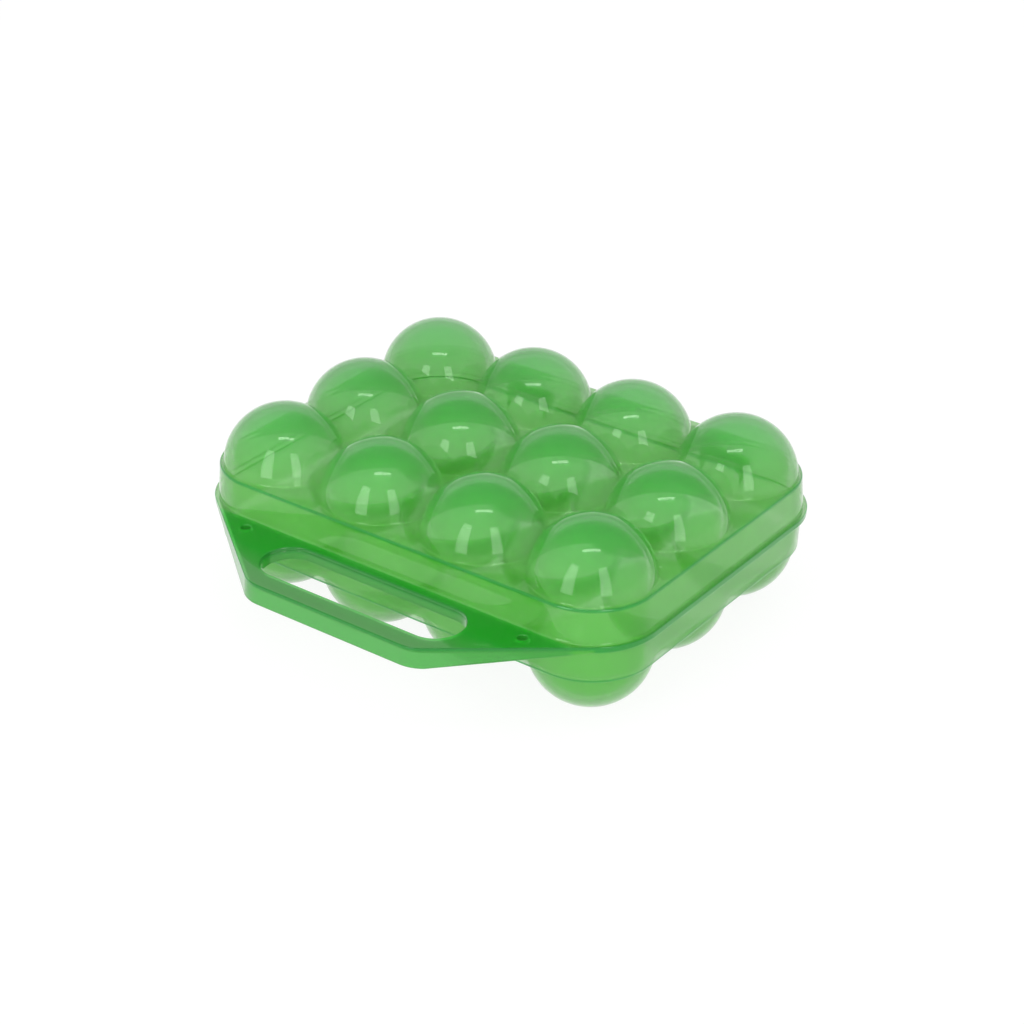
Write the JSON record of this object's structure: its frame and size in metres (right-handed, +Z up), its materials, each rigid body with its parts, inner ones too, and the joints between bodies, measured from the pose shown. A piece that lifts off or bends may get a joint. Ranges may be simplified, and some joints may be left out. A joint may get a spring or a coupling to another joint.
{
  "type": "egg carrier box",
  "caption": "Translucent plastic carrier box for eggs: a cupped base and a matching domed lid on a rear hinge, with a flat slotted carrying handle at the front held shut by press studs.",
  "frame": {"origin": "middle of the footprint, on the plane of the flats under the base's cups", "axes": "+Z up, +X along the longer side, with the carrying handle towards -Y and the hinge towards +Y"},
  "size_m": [0.2082, 0.1998, 0.077],
  "materials": {
    "green_plastic": "clear green polypropylene with a moulded gloss, see-through where one wall shows"
  },
  "bodies": {
    "base": {"base_shell": "green_plastic"},
    "lid": {"lid_shell": "green_plastic"}
  },
  "joints": [
    {"name": "lid_hinge", "type": "hinge", "parent": "base", "child": "lid", "pos_m": [0, 0.0966, 0.0383], "axis": [-1, 0, 0], "range_deg": [0, 179]}
  ]
}
